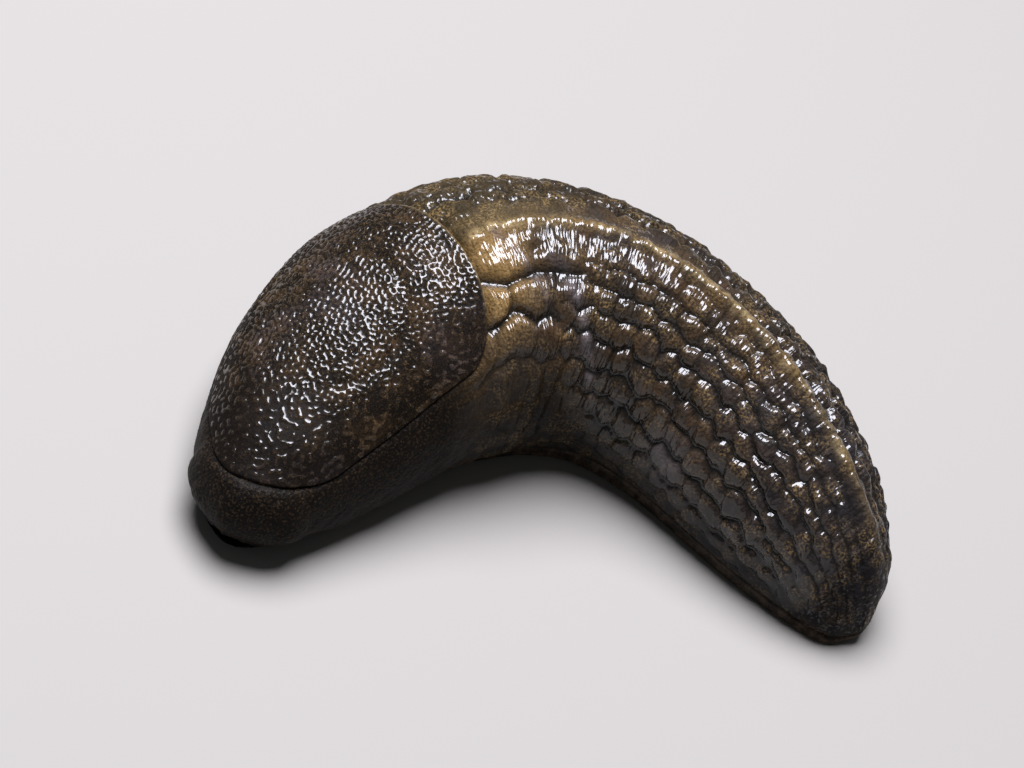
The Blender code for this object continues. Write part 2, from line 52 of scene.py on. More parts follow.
MM = 0.001
BODY_LENGTH = 32.0
STATION = (0, 0.02, 0.06, 0.12, 0.20, 0.30, 0.40, 0.50, 0.60, 0.70, 0.80, 0.88, 0.94, 0.98, 1)
HALF_WIDTH = (0, 1.45, 2.4, 3.25, 4.15, 4.65, 4.8, 4.35, 3.7, 3.45, 3.15, 2.65, 2.0, 1.25, 0)
HEIGHT = (2.6, 3.3, 4.1, 5.0, 6.3, 7.8, 8.9, 9.0, 8.7, 7.9, 6.9, 5.8, 4.5, 3.0, 1.6)
WIDEST_LEVEL = 0.4
NOSE_END, NOSE_HALF_WIDTH = 0.06, 2.4

# The side that the body leans to, in degrees: to its left in front and its right behind
LEAN_STATION = (0, 0.20, 0.60, 0.80, 1)
LEAN = (0, -1, 0, 4, 5)

# The middle line, from the nose back: it starts off at 60 degrees and turns by 107 to the right
NOSE_X, NOSE_Y = -11.51, -7.28
FIRST_HEADING, BEND, BEND_FROM, BEND_OVER = 60, 107, 0.12, 0.70
WALK_STEPS = 2000


def eased(x):
    """A rise from 0 to 1 that starts and ends softly."""
    x = np.clip(x, 0, 1)
    return x * x * (3 - 2 * x)


def drawn_through(x, stations, values):
    """A smooth curve through the body's stations that never swings past them."""
    stations = np.asarray(stations, float)
    values = np.asarray(values, float)
    steps = np.diff(stations)
    slopes = np.diff(values) / steps
    leaning = np.zeros(len(stations))
    leaning[0], leaning[-1] = slopes[0], slopes[-1]
    same_way = slopes[:-1] * slopes[1:] > 0
    before = 2 * steps[1:] + steps[:-1]
    after = steps[1:] + 2 * steps[:-1]
    with np.errstate(divide="ignore", invalid="ignore"):
        inner = (before + after) / (before / slopes[:-1] + after / slopes[1:])
    leaning[1:-1] = np.where(same_way, inner, 0)
    x = np.clip(x, stations[0], stations[-1])
    i = np.clip(np.searchsorted(stations, x, side="right") - 1, 0, len(steps) - 1)
    t = (x - stations[i]) / steps[i]
    ends = (1 + 2 * t) * (1 - t) ** 2 * values[i] + t * t * (3 - 2 * t) * values[i + 1]
    bends = t * (1 - t) ** 2 * leaning[i] + t * t * (t - 1) * leaning[i + 1]
    return ends + bends * steps[i]


def body_heading(u):
    return np.radians(FIRST_HEADING - BEND * eased((u - BEND_FROM) / BEND_OVER))


WALK = np.linspace(0, 1, WALK_STEPS + 1)
STEPS = body_heading((WALK[1:] + WALK[:-1]) / 2)
LINE_X = NOSE_X + np.concatenate(([0], np.cumsum(np.cos(STEPS)))) * BODY_LENGTH / WALK_STEPS
LINE_Y = NOSE_Y + np.concatenate(([0], np.cumsum(np.sin(STEPS)))) * BODY_LENGTH / WALK_STEPS


def half_width(u):
    """The plain half width, rounded off at the nose."""
    nose = NOSE_HALF_WIDTH * (1 - (1 - np.clip(u / NOSE_END, 0, 1)) ** 2) ** 0.7
    return np.where(u < NOSE_END, nose, drawn_through(u, STATION, HALF_WIDTH))


def height(u):
    return drawn_through(u, STATION, HEIGHT)


def section(u, q):
    """How far out and how high the plain body wall is."""
    wide, top = half_width(u), height(u)
    level = WIDEST_LEVEL * top
    angle = np.pi / 2 * (1 - np.clip(q, 0, 1))
    down = np.clip(q - 1, 0, 1)
    back_out = wide * np.cos(angle) ** 0.92
    back_up = level + (top - level) * np.sin(angle) ** 0.95
    flank_out = wide * (1 - 0.26 * down ** 2.2)
    return np.where(q <= 1, back_out, flank_out), np.where(q <= 1, back_up, level * (1 - down))


def set_out(u, out, up, side):
    """Turn distances across and above the body line into places, with the body's lean."""
    across = side * out + np.tan(np.radians(drawn_through(u, LEAN_STATION, LEAN))) * up
    angle = body_heading(u)
    x = np.interp(u, WALK, LINE_X) - np.sin(angle) * across
    y = np.interp(u, WALK, LINE_Y) + np.cos(angle) * across
    return np.stack(np.broadcast_arrays(x, y, up), axis=-1)


def wall_normal(u, q):
    """Outward direction of the wall within its section, as (out, up)."""
    step = 0.02
    before = section(u, np.maximum(q - step, 0))
    after = section(u, q + step)
    out, up = after[0] - before[0], after[1] - before[1]
    out = np.where(q < step, 1.0, out)
    up = np.where(q < step, 0.0, up)
    length = np.hypot(out, up)
    return -up / length, out / length


def on_wall(u, q, side, lift):
    """A place on the body, lifted off the plain wall by this much."""
    normal_out, normal_up = wall_normal(u, q)
    out, up = section(u, q)
    return set_out(u, np.maximum(out + normal_out * lift, 0.0), up + normal_up * lift, side)


def foot_top(u):
    """The level of the foot's upper edge."""
    return 0.35 + 0.085 * height(u)


def wall_runs(u, q_end, count=80):
    """For each section, q and the distance down the side from the crest."""
    q = np.linspace(0, 1, count)[None, :] * q_end[:, None]
    out, up = section(u[:, None], q)
    steps = np.hypot(np.diff(out, axis=1), np.diff(up, axis=1))
    return q, np.concatenate((np.zeros((len(u), 1)), np.cumsum(steps, axis=1)), axis=1)


def mottle(x, y, seed):
    """Smooth uneven values from -1 to 1, with one lump per unit."""
    size = 128
    table = np.random.default_rng(seed).uniform(-1, 1, (size, size))
    column, row = np.floor(x).astype(int), np.floor(y).astype(int)
    right, down = eased(x - column), eased(y - row)
    a, b = table[column % size, row % size], table[(column + 1) % size, row % size]
    c, d = table[column % size, (row + 1) % size], table[(column + 1) % size, (row + 1) % size]
    return (a + (b - a) * right) * (1 - down) + (c + (d - c) * right) * down


# The mantle's outline is needed here too, because the skin sinks into a seat under it. "v" runs
# across it from -1 at its left edge to 1 at its right edge, which lies further down the side.
MANTLE_FRONT, MANTLE_SHOULDER, MANTLE_HIP, MANTLE_REAR = 0.03, 0.10, 0.275, 0.345
MANTLE_SWEEP_FRONT, MANTLE_SWEEP_REAR = 0.04, 0.012
MANTLE_LEFT_Q, MANTLE_RIGHT_Q = -0.54, 0.86
MANTLE_MIDDLE_Q = (MANTLE_RIGHT_Q + MANTLE_LEFT_Q) / 2
MANTLE_REACH = (MANTLE_RIGHT_Q - MANTLE_LEFT_Q) / 2
FAR_OFF = 9.0


def mantle_front(v):
    swept = MANTLE_SHOULDER + MANTLE_SWEEP_FRONT * np.maximum(v, 0) ** 2
    return swept - (MANTLE_SHOULDER - MANTLE_FRONT) * np.sqrt(np.clip(1 - v * v, 0, 1))


def mantle_rear(v):
    swept = MANTLE_HIP - MANTLE_SWEEP_REAR * v
    return swept + (MANTLE_REAR - MANTLE_HIP) * np.sqrt(np.clip(1 - np.abs(v) ** 2.5, 0, 1))


def inside_mantle(u, v):
    """Distance in from the mantle's edge along the skin, negative outside it."""
    spans = 80
    across = np.sin(np.pi * (np.arange(spans + 1) / spans - 0.5))
    rear, front = mantle_rear(across), mantle_front(across[::-1])
    edge_u = np.concatenate((rear, front, rear[:1]))
    edge_v = np.concatenate((across, across[::-1], across[:1]))
    round_body = MANTLE_REACH * np.pi / 4 * (half_width(u) + 0.6 * height(u))
    nearest = np.full(u.shape, FAR_OFF)
    for k in range(len(edge_u) - 1):
        ax, ay = (edge_u[k] - u) * BODY_LENGTH, (edge_v[k] - v) * round_body
        bx, by = (edge_u[k + 1] - u) * BODY_LENGTH, (edge_v[k + 1] - v) * round_body
        run_x, run_y = bx - ax, by - ay
        share = -(ax * run_x + ay * run_y) / np.maximum(run_x ** 2 + run_y ** 2, 1e-12)
        share = np.clip(share, 0, 1)
        nearest = np.minimum(nearest, np.hypot(ax + run_x * share, ay + run_y * share))
    within = (np.abs(v) < 1) & (mantle_front(v) < u) & (u < mantle_rear(v))
    return np.where(within, nearest, -nearest)


# Rings run from the mouth over the head, back into its pocket, out over the lip and along the
# body to the tail tip. Columns run from the crest down one side, across the sole and up again.
COLUMNS, RINGS, HEAD_RINGS, NECK_RINGS = 236, 421, 54, 62
REAR_RINGS = RINGS - HEAD_RINGS - NECK_RINGS
FLANK_SHARE, FRINGE_SHARE = 0.84, 0.915
FIRST_BODY_U, NECK_U, LAST_BODY_U = 0.025, 0.27, 0.9995
FRINGE_WIDTH, SOLE_GROOVE = 0.22, 0.2

bpy.ops.object.select_all(action="DESELECT")
bpy.ops.mesh.primitive_uv_sphere_add(segments=COLUMNS, ring_count=RINGS, radius=1)
skin = bpy.context.object
skin.name = skin.data.name = "skin"
ball = np.empty(len(skin.data.vertices) * 3)
skin.data.vertices.foreach_get("co", ball)
ball = ball.reshape(-1, 3)
from_pole = np.arctan2(np.hypot(ball[:, 0], ball[:, 1]), ball[:, 2])
round_ball = np.arctan2(ball[:, 1], ball[:, 0])
ring_of = np.rint(from_pole / np.pi * RINGS).astype(int)
column_of = np.rint(round_ball / (2 * np.pi) * COLUMNS).astype(int) % COLUMNS

column = np.arange(COLUMNS)
side = np.where(column <= COLUMNS // 2, 1.0, -1.0)
on_right, on_left = side[None, :] > 0, side[None, :] < 0
down_side = np.minimum(column, COLUMNS - column) / (COLUMNS / 2)

past_neck = 1 - (1 - np.linspace(0, 1, REAR_RINGS + 2)[1:]) ** 1.12
ring_u = np.concatenate((
    np.linspace(FIRST_BODY_U, NECK_U, NECK_RINGS), NECK_U + (LAST_BODY_U - NECK_U) * past_neck,
))


def body_sections(u):
    """Plain places, crest distances and normals of whole sections at these u."""
    q_end = 1 + np.maximum(1 - foot_top(u) / (WIDEST_LEVEL * height(u)), 0)
    q_run, far_run = wall_runs(u, q_end)
    share = np.clip(down_side / FLANK_SHARE, 0, 1)
    q = np.empty((len(u), COLUMNS))
    far = np.empty((len(u), COLUMNS))
    for k in range(len(u)):
        far[k] = share * far_run[k, -1]
        q[k] = np.interp(far[k], far_run[k], q_run[k])
    out, up = section(u[:, None], q)
    base = section(u, np.full(len(u), 2.0))[0]
    top = foot_top(u)
    formed = eased((u - 0.07) / 0.10)
    fringe = base + np.minimum(FRINGE_WIDTH, 0.3 * base) * formed
    edge_out = section(u, q_end)[0]
    turn = (down_side - FLANK_SHARE) / (FRINGE_SHARE - FLANK_SHARE)
    on_fringe = (turn > 0) & (turn <= 1)
    keys = (0, 0.16, 0.42, 0.72, 1)
    onto_sole = (down_side - FRINGE_SHARE) / (1 - FRINGE_SHARE)
    on_sole = onto_sole > 0
    off_groove = (1 - onto_sole - 0.36) / 0.07
    for k in range(len(u)):
        outs = (edge_out[k], base[k] - 0.06 * formed[k], fringe[k], fringe[k], base[k] + 0.02)
        ups = (top[k], 0.86 * top[k], 0.62 * top[k], 0.22 * top[k], 0.0)
        out[k] = np.where(on_fringe, drawn_through(turn, keys, outs), out[k])
        up[k] = np.where(on_fringe, drawn_through(turn, keys, ups), up[k])
        groove = SOLE_GROOVE * np.exp(-off_groove ** 2) * min(1, base[k])
        out[k] = np.where(on_sole, (base[k] + 0.02) * (1 - onto_sole), out[k])
        up[k] = np.where(on_sole, groove * eased((u[k] - 0.16) / 0.06), up[k])
    normal_out, normal_up = wall_normal(u[:, None], q)
    on_back = down_side <= FLANK_SHARE
    return q, far, out, up, normal_out * on_back, normal_up * on_back


q, far, out, up, normal_out, normal_up = body_sections(ring_u)
u = np.repeat(ring_u[:, None], COLUMNS, axis=1)
run = u * BODY_LENGTH
on_back = np.repeat((down_side <= FLANK_SHARE)[None, :], len(ring_u), axis=0)

# Tubercles: brick-laid cells in rows that run back from the mantle and slide down the flank.
# Behind the mantle on the left they are about 2.2 by 1.35 mm. Further back, and all over the
# right side, they are little more than half that size. Widths and lengths are in millimetres.
KEEL_HALF_WIDTH = 0.5
BIG_STATION, SMALL_STATION = (0, 0.42, 0.6, 1), (0, 0.42, 0.6, 0.8, 1)
BIG_WIDE, BIG_LONG = (1.35, 1.35, 1.2, 1.0), (2.3, 2.2, 2.0, 1.8)
SMALL_WIDE, SMALL_LONG = (0.84, 0.82, 0.76, 0.66, 0.5), (1.3, 1.25, 1.15, 1.0, 0.8)
BIG_GROOVE, SMALL_GROOVE = 0.85, 0.42
CELL_STRETCH, CELL_JITTER = 0.85, 0.24


def row_place(u, far, wide):
    """Which row a point is in, counted from the keel, as a running number."""
    rows = np.arange(0, 30, 0.25)
    place = np.empty(u.shape)
    for k in range(u.shape[0]):
        slid = 6.0 * (1 - math.exp(-max(u[k, 0] - 0.30, 0) / 0.20))
        lines = KEEL_HALF_WIDTH + wide[k, 0] * rows
        lines = lines + 0.28 * slid * eased((lines - 2.0) / 5.0)
        place[k] = np.interp(far[k], lines, rows)
        above = (far[k] - KEEL_HALF_WIDTH) / wide[k, 0]
        place[k] = np.where(far[k] < KEEL_HALF_WIDTH, above, place[k])
    return place


def brick_cells(along, rows, seed):
    """How far a point is from a joint in its row, from the next row and from its cell's heart,
    and the cell's own number."""
    table = np.random.default_rng(seed).uniform(-1, 1, (128, 64, 3))
    gaps, rows_met, owns = [], [], []
    for d_row in (-1, 0, 1):
        row = np.floor(rows).astype(int) + d_row
        offset = 0.5 * (row % 2)
        for d_cell in (-1, 0, 1):
            cell = np.floor(along - offset).astype(int) + d_cell
            chance = table[cell % 128, row % 64]
            heart = cell + 0.5 + offset + CELL_JITTER * chance[..., 0]
            gap_row = rows - (row + 0.5 + 0.5 * CELL_JITTER * chance[..., 1])
            gaps.append(np.hypot((along - heart) * CELL_STRETCH, gap_row))
            rows_met.append(row)
            owns.append(chance[..., 2])
    gaps, rows_met, owns = np.array(gaps), np.array(rows_met), np.array(owns)
    own = gaps.argmin(axis=0)[None]
    nearest = np.take_along_axis(gaps, own, 0)
    same_row = rows_met == np.take_along_axis(rows_met, own, 0)
    others = np.where(gaps > nearest, gaps, FAR_OFF)
    to_joint = np.where(same_row, others, FAR_OFF).min(axis=0) - nearest[0]
    to_row_edge = np.where(same_row, FAR_OFF, others).min(axis=0) - nearest[0]
    return to_joint, to_row_edge, nearest[0], np.take_along_axis(owns, own, 0)[0]


# Added to a place in a random table, so that the two sides aren't mirror images
sided = np.where(on_right, 40, 0)


def tubercle_field(station, widths, lengths, groove, seed):
    """Crown height, dome and own tone of a field of cells this wide and long."""
    wide, long = drawn_through(u, station, widths), drawn_through(u, station, lengths)
    rows = row_place(u, far, wide)
    long_there = np.interp(WALK[1:], ring_u, long[:, 0])
    along_line = np.concatenate(([0], np.cumsum(BODY_LENGTH / WALK_STEPS / long_there)))
    along = np.interp(u, WALK, along_line)
    wander = 0.22 * mottle(along * 1.6, rows * 1.3 + sided, seed)
    drift = 0.18 * mottle(along * 1.5 + 31, rows * 1.4 + sided, seed + 2)
    to_joint, to_row_edge, to_heart, tone = brick_cells(
        along + wander + sided, rows + drift + 0.4 * wander, seed
    )
    uneven = groove * (1 + 0.3 * mottle(along * 3, rows * 3 + sided, seed + 3))
    row_pillow = 1 - (1 - np.clip(to_row_edge * wide / uneven, 0, 1)) ** 1.8
    joint_pillow = 1 - (1 - np.clip(to_joint * long / uneven, 0, 1)) ** 1.8
    dome = 1 - np.clip(to_heart / 0.8, 0, 1) ** 2
    return row_pillow * (0.42 + 0.58 * joint_pillow), dome, tone


big = tubercle_field(BIG_STATION, BIG_WIDE, BIG_LONG, BIG_GROOVE, 5)
small = tubercle_field(SMALL_STATION, SMALL_WIDE, SMALL_LONG, SMALL_GROOVE, 15)
smaller = eased((u - 0.455 + 0.03 * mottle(u * 20, far * 0.6 + sided, 19)) / 0.07)
smaller = np.maximum(smaller, on_right * eased((far - 1.0) / 0.6))
crown, dome, tone = (a + (b - a) * smaller for a, b in zip(big, small))

far_share = far / far.max(axis=1, keepdims=True)
from_mantle = eased((u - 0.30) / 0.05)
behind = eased((u - 0.24) / 0.10)
onto_tail = eased((u - 0.6) / 0.25)
keel_band = np.exp(-(far / (0.29 + 0.06 * mottle(u * 40, 0 * far, 22))) ** 2) * from_mantle
keel_slope = eased((1.05 - far) / 0.4) * from_mantle * (1 - 0.8 * eased((u - 0.5) / 0.3))
crown = crown + (1 - crown) * keel_slope
low = eased((far_share - 0.30 - 0.36 * eased((u - 0.45) / 0.2)) / 0.34)
low = low * (0.6 + 0.4 * on_left)

# The cells stand up from the grooves in the plain wall, and run out low on the flank and at
# the tail tip
RISE, SMALL_LESS, RIGHT_MORE = 0.34, 0.14, 0.07
SUNK, SMALL_SUNK_LESS, DOME_RISE = 0.20, 0.05, 0.04
rise = RISE - SMALL_LESS * smaller + RIGHT_MORE * on_right
tubercle = rise * crown - SUNK + SMALL_SUNK_LESS * smaller + DOME_RISE * dome
tubercle = tubercle * (1 - (0.80 - 0.45 * onto_tail) * low)
tubercle *= 1 - 0.9 * eased((u - 0.86) / 0.10)

# Wrinkles cross the tubercles, strongest beside the keel, and fine folds gather at the tail tip
WRINKLE_HEIGHT, TIP_FOLD_HEIGHT = 0.06, 0.07
wrinkled = (0.35 + 0.65 * crown) * (1 - 0.15 * eased((far - 2.0) / 4.5))
wrinkled *= 0.8 + 0.4 * mottle(u * 24, far * 1.1, 6)
wrinkled *= 1 - 0.75 * low
wrinkle = mottle(run / 0.20, far / 0.7 + sided, 3)
wrinkle += 0.6 * mottle(run / 0.42, far / 0.5 + sided, 4)
wrinkle *= WRINKLE_HEIGHT * wrinkled * (1 + 0.3 * smaller)
tip = eased((u - 0.86) / 0.08)
wrinkle += TIP_FOLD_HEIGHT * tip * np.abs(mottle(run / 0.45, far / 0.6 + sided, 11))

GRAIN_HEIGHT, GRAIN_LESS_BEHIND = 0.018, 0.008


def fine_grain(run, far):
    """Uneven grain of 0.16 to 0.35 mm, by the distances along the body and down its side."""
    return mottle(run / 0.16 + sided, far / 0.16, 8) + mottle(run / 0.35 + sided, far / 0.3, 9)


flesh = (tubercle * (1 - keel_band) + wrinkle) * behind
flesh = flesh + (GRAIN_HEIGHT - GRAIN_LESS_BEHIND * behind) * fine_grain(run, far)

# Keel: a narrow ridge along the crest from the mantle's rear edge to the tail tip
KEEL_RISE, KEEL_UNEVEN = 0.34, 0.05
to_tip = np.clip((1.0 - u) / 0.06, 0, 1) ** 0.7
keel_rise = KEEL_RISE * to_tip + KEEL_UNEVEN * mottle(run / 0.2, far / 0.6 + 9, 21)
flesh = flesh + keel_band * keel_rise

# Broad folds where the body bends most, on the inner side, and rings round the tail end
folds = 0.035 * np.sin(2 * np.pi * run / 1.5 + 1.5 * mottle(u * 10, far * 0.4, 31))
folds *= eased((u - 0.27) / 0.05) * eased((0.60 - u) / 0.2) * eased((far - 3.0) / 3.0)
folds *= on_left & on_back
tail_rings = 0.035 * np.sin(2 * np.pi * (run / 0.5 + 0.5 * mottle(u * 20, far, 33)))
tail_rings *= eased((u - 0.92) / 0.04)
swell = 0.05 * mottle(u * 12, far * 0.5 + sided, 35)
flesh = flesh + folds + tail_rings + swell

# The seat under the mantle, with a crease along the mantle's edge
SEAT_DEPTH, CREASE_DEPTH = 0.62, 0.10
inward = np.full(u.shape, -FAR_OFF)
near_mantle = ring_u < 0.42
v = (side[None, :] * q - MANTLE_MIDDLE_Q) / MANTLE_REACH
inward[near_mantle] = inside_mantle(u[near_mantle], v[near_mantle])
flesh *= 1 - eased((inward + 0.25) / 0.3)
seat = -SEAT_DEPTH * eased((inward + 0.02) / 0.5) - CREASE_DEPTH * np.exp(-(inward / 0.18) ** 2)
flesh = (flesh + seat) * eased((u - FIRST_BODY_U) / 0.006)
flesh *= eased((FLANK_SHARE - down_side) / 0.03)[None, :]

# The last rings close round the tail tip
CLOSE_FROM = 0.985
closing = np.clip((u - CLOSE_FROM) / (LAST_BODY_U - CLOSE_FROM), 0, 1)
closing = np.sqrt(np.clip(1 - closing ** 2, 0, 1))
lifted_out = np.maximum(out + normal_out * flesh, 0)
lifted_up = np.maximum(up + normal_up * flesh, 0)
middle = 0.45 * height(u)
lifted_up = middle + (lifted_up - middle) * closing

# The foot of the nose is drawn back and in under its brow. The head's own axes run back along
# the first stretch of the middle line, across it and up.
UNDERCUT, BROW_LEVEL, UNDERCUT_END = 0.95, 1.9, 0.11
NARROWED, NARROWED_LEVEL = 0.3, 1.8
NOSE_PLACE = np.array((LINE_X[0], LINE_Y[0], 0))
HEAD_TURN = math.radians(FIRST_HEADING)
HEAD_AXES = np.array((
    (math.cos(HEAD_TURN), math.sin(HEAD_TURN), 0),
    (-math.sin(HEAD_TURN), math.cos(HEAD_TURN), 0),
    (0, 0, 1),
))


def drawn_back(u, up):
    return UNDERCUT * (1 - eased(up / BROW_LEVEL)) * (1 - eased(u / UNDERCUT_END))


def foot_narrowed(up):
    return NARROWED * (1 - eased(up / NARROWED_LEVEL))


lifted_out *= 1 - foot_narrowed(lifted_up) * (1 - eased((u - 0.02) / 0.11))
body_places = set_out(u, lifted_out, lifted_up, np.where(out < 1e-9, 0, side[None, :]))
body_places = body_places + drawn_back(u, lifted_up)[..., None] * HEAD_AXES[0]

# Head, pocket and lip: whole loops from the mouth out to the first ring of the body. A loop of
# the head is given by its distance back from the nose, half width, bottom and top, and one of
# the lip by the last three, because it lies on the rounded front.
HEAD_LOOPS = (
    (2.42, 0.02, 0.74, 0.76), (2.34, 0.30, 0.66, 0.86), (2.22, 0.42, 0.55, 0.98),
    (2.26, 0.80, 0.38, 1.34), (2.55, 1.02, 0.32, 1.48), (3.40, 1.14, 0.30, 1.56),
    (4.20, 1.20, 0.28, 1.62), (4.45, 1.34, 0.18, 1.74), (4.10, 1.46, 0.08, 1.84),
    (2.60, 1.40, 0.06, 1.76), (1.70, 1.08, 0.05, 1.44), (1.32, 0.92, 0.05, 1.12),
)
LIP_LOOPS = ((1.02, 0.02, 1.12), (1.16, 0.0, 1.36), (1.34, 0.0, 1.75), (1.54, 0.0, 2.35))
FACE_END, LIP_START = 4, 12
turn = np.pi * np.interp(down_side, (0, FLANK_SHARE, FRINGE_SHARE, 1), (0, 0.62, 0.72, 1))


def head_loop(along, wide, bottom, top):
    """A rounded loop round the head, as distances back, sideways and up."""
    squareness = 0.85
    sideways = wide * np.abs(np.sin(turn)) ** squareness * side
    rounded_up = np.sign(np.cos(turn)) * np.abs(np.cos(turn)) ** squareness
    return along, sideways, (bottom + top) / 2 + (top - bottom) / 2 * rounded_up


def nose_u(sideways, up):
    """Where along the body the rounded front passes through a point, found by halving."""
    near, past = np.zeros(sideways.shape), np.full(sideways.shape, 0.12)
    for _ in range(30):
        middle = (near + past) / 2
        wide, top = half_width(middle), height(middle)
        over = np.clip(up - WIDEST_LEVEL * top, 0, None) / (0.6 * top)
        beyond = (np.abs(sideways) / wide) ** 2.17 + over ** 2.1 > 1
        near, past = np.where(beyond, middle, near), np.where(beyond, past, middle)
    return near


loops = [np.stack(np.broadcast_arrays(*head_loop(*row)), axis=-1) for row in HEAD_LOOPS]
for outward_share, (wide, bottom, top) in zip((0.25, 0.5, 0.75, 1), LIP_LOOPS):
    _, sideways, up_here = head_loop(0, wide, bottom, top)
    sideways = sideways * (1 - outward_share * foot_narrowed(up_here))
    u_here = nose_u(sideways, up_here)
    back_here = BODY_LENGTH * u_here + drawn_back(u_here, up_here)
    loops.append(np.stack((back_here, sideways, up_here), axis=-1))
for ring in (body_places[0], body_places[4]):
    loops.append((ring - NOSE_PLACE) @ HEAD_AXES.T)
loops = np.array(loops)
spacing = np.linalg.norm(np.diff(loops, axis=0), axis=2).mean(axis=1)
loop_at = np.concatenate(([0], np.cumsum(spacing)))
slopes = np.diff(loops, axis=0) / spacing[:, None, None]
tangents = np.concatenate((slopes[:1], slopes))
before, after = spacing[:-1, None, None], spacing[1:, None, None]
tangents[1:-1] = (slopes[1:] * before + slopes[:-1] * after) / (after + before)
at = np.linspace(0, loop_at[-2], HEAD_RINGS + 1)[:-1]
k = np.clip(np.searchsorted(loop_at, at, side="right") - 1, 0, len(spacing) - 1)
t = ((at - loop_at[k]) / spacing[k])[:, None, None]
ends = (1 + 2 * t) * (1 - t) ** 2 * loops[k] + t * t * (3 - 2 * t) * loops[k + 1]
bends = t * (1 - t) ** 2 * tangents[k] + t * t * (t - 1) * tangents[k + 1]
head_places = ends + bends * spacing[k][:, None, None]

# Eyestalks above and feelers below, shortened to knobs that stand out of the head's face: how
# far to each side they are, their level, radius and length
KNOBS = ((0.56, 0.98, 0.27, 0.80), (0.36, 0.50, 0.20, 0.55))
on_face = (at < loop_at[FACE_END])[:, None]
for to_side, level_up, radius, length in KNOBS:
    for sideways in (to_side, -to_side):
        near = np.hypot(head_places[..., 1] - sideways, head_places[..., 2] - level_up) / radius
        head_places[..., 0] -= on_face * length * np.clip(1 - near ** 2, 0, 1) ** 0.6

# Puckers where the skin gathers round the opening
PUCKER_HEIGHT = 0.012
gather = np.exp(-((at - loop_at[LIP_START]) / 0.9) ** 2)[:, None] * np.sin(turn * 9 + 0.8 * side)
pucker = PUCKER_HEIGHT * gather * eased(head_places[..., 2] / 0.8)
head_places += pucker[..., None] * np.array((0.3, 0, 1))
head_places = NOSE_PLACE + head_places @ HEAD_AXES

# The same fine grain runs over the lip as over the body
across_steps = np.linalg.norm(np.diff(head_places[:, : COLUMNS // 2 + 1], axis=1), axis=2)
one_side = np.concatenate((np.zeros((HEAD_RINGS, 1)), np.cumsum(across_steps, axis=1)), axis=1)
head_far = np.concatenate((one_side, one_side[:, -2:0:-1]), axis=1)
head_run = (FIRST_BODY_U * BODY_LENGTH - loop_at[-2] + at)[:, None]
head_run = np.repeat(head_run, COLUMNS, axis=1)
toward_next = np.roll(head_places, -1, axis=1) - np.roll(head_places, 1, axis=1)
toward_body = np.gradient(head_places, axis=0)
outward = np.cross(toward_next, toward_body)
outward /= np.maximum(np.linalg.norm(outward, axis=2, keepdims=True), 1e-9)
outward *= np.sign((outward[-1] * (body_places[0] - body_places[0].mean(axis=0))).sum())
on_lip = eased((at - loop_at[LIP_START - 1]) / 0.3)[:, None]
head_places += outward * (GRAIN_HEIGHT * fine_grain(head_run, head_far) * on_lip)[..., None]
head_places[..., 2] = np.maximum(head_places[..., 2], 0)

places = np.concatenate((head_places, body_places))
places[0] = places[0].mean(axis=0)
places[-1] = places[-1].mean(axis=0)
skin.data.vertices.foreach_set("co", (places[ring_of, column_of] * MM).ravel())
skin.data.update()


def give_attribute(piece, name, values):
    layer = piece.data.attributes.new(name, "FLOAT", "POINT")
    layer.data.foreach_set("value", np.ascontiguousarray(values, np.float32))


def over_rings(body_values, head_values):
    """One value for each point of the skin, from those of the body and the head."""
    whole = np.empty((RINGS + 1, COLUMNS))
    whole[:HEAD_RINGS] = head_values
    whole[HEAD_RINGS:] = body_values
    return whole[ring_of, column_of]


# Warm ochre on the left behind the mantle, olive on the right, and on the left also two pale
# slanting bands and a pale patch further back
warm = np.exp(-((u - 0.365) / 0.045) ** 2) * (1 - eased((far - 2.0) / 3)) * on_left
warm_below = 0.3 * np.exp(-((u - 0.30) / 0.06) ** 2) * eased((far - 2.5) / 1.5) * on_left
warm = warm + warm_below * (0.5 + 0.5 * mottle(u * 40, far * 1.6, 41))
olive = on_right * np.exp(-((u - 0.38) / 0.10) ** 2)
bloom = np.exp(-((u - 0.477 - 0.0259 * (far - 2.25)) / 0.011) ** 2)
bloom = bloom * eased((far - 0.9) / 0.8) * eased((6.8 - far) / 1.2)
faint = np.exp(-((u - 0.425 - 0.02 * (far - 2.25)) / 0.006) ** 2) * eased((3.4 - far) / 1)
bloom = np.maximum(bloom, faint * 0.6)
bloom = np.maximum(bloom, np.exp(-((u - 0.728) / 0.03) ** 2 - ((far - 5.9) / 1.0) ** 2))
bloom *= on_left * (0.75 + 0.25 * mottle(u * 90, far * 3, 43))
keel_tint = np.exp(-(far / 0.18) ** 2) * from_mantle * (1 - 0.9 * eased((u - 0.84) / 0.12))
keel_tint = keel_tint * (0.75 + 0.4 * mottle(u * 26, far * 2, 44))

# The film of slime gives out on the neck and low on the flank, is half as strong at the tail
# tip, and breaks up where the slug is shaded
dry = np.maximum(1 - eased((u - 0.24) / 0.12), 0.92 * low * (1 - 0.15 * onto_tail))
film = 1 - np.maximum(dry, 0.5 * eased((u - 0.94) / 0.04))
shaded = np.maximum(on_right * eased((far - 0.5) / 0.8) * behind, eased((u - 0.93) / 0.04))
out_of_groove = (crown + (1 - crown) * low) * behind + 0.9 * (1 - behind)
heart = np.clip(1.15 * np.maximum(dome, 0.8 * keel_slope), 0, 1) * behind
back_wrinkled = np.clip(wrinkled * behind, 0, 1) + 0.12 * (1 - behind)

